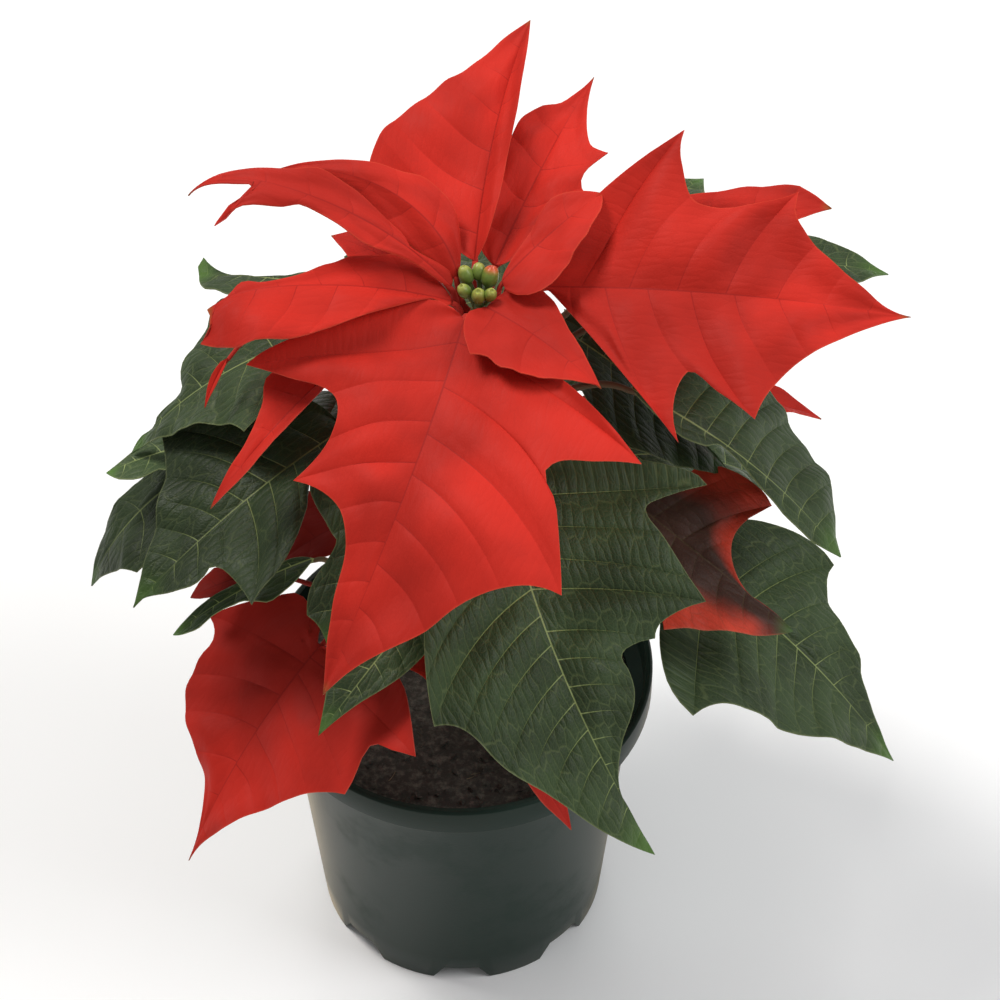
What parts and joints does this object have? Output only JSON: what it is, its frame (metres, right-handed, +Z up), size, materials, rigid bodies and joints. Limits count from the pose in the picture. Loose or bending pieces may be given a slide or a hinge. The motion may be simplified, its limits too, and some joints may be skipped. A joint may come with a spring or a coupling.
{
  "type": "potted poinsettia plant",
  "caption": "Bushy potted plant with lobed red bracts around a small bud cluster above dark green leaves, in a round plastic nursery pot.",
  "frame": {"origin": "middle of the flat pad under the pot, on the surface the pot stands on", "axes": "+Z up the pot's axis; -Y towards the plant's front, as it is seen in the picture; +X to the right of that view"},
  "size_m": [0.2607, 0.2303, 0.3183],
  "materials": {
    "pot_plastic": "satin dark grey-green",
    "soil_peat": "rough dark peat",
    "stem_bark": "green-brown bark",
    "bud_green": "soft plant tissue, satin",
    "bract_red": "soft plant tissue, satin red",
    "bract_turning": "soft plant tissue, dark red turning green",
    "leaf_green": "soft plant tissue, satin dark green"
  },
  "bodies": {
    "root": {"pot": "pot_plastic", "soil": "soil_peat", "stem": "stem_bark", "cyathia": "bud_green", "bract_front": "bract_red", "bract_right": "bract_red", "bract_small_front": "bract_red", "bract_tall_back": "bract_red", "bract_back_right": "bract_red", "bract_left_long": "bract_red", "bract_left_inner": "bract_red", "bract_left": "bract_red", "bract_left_under": "bract_red", "bract_back_small": "bract_red", "bract_behind_right": "bract_red", "bract_hanging_left": "bract_red", "bract_sliver_left": "bract_red", "bract_low_left": "bract_red", "bract_low_front": "bract_red", "bract_low_small": "bract_red", "bract_dark_left": "bract_red", "bract_dark_left_low": "bract_red", "bract_right_sliver": "bract_red", "bract_back_left": "bract_red", "bract_turning": "bract_turning", "bract_back_turning": "bract_turning", "leaf_back_left": "leaf_green", "leaf_left_upper": "leaf_green", "leaf_left_small": "leaf_green", "leaf_far_left": "leaf_green", "leaf_left": "leaf_green", "leaf_left_bright": "leaf_green", "leaf_dark_left": "leaf_green", "leaf_front_hanging": "leaf_green", "leaf_front": "leaf_green", "leaf_dark_middle": "leaf_green", "leaf_right": "leaf_green", "leaf_right_low": "leaf_green", "leaf_back_right_upper": "leaf_green", "leaf_back_right": "leaf_green", "leaf_back_1": "leaf_green", "leaf_back_2": "leaf_green", "leaf_back_3": "leaf_green", "leaf_back_4": "leaf_green", "leaf_back_5": "leaf_green", "leaf_back_6": "leaf_green"}
  },
  "joints": []
}
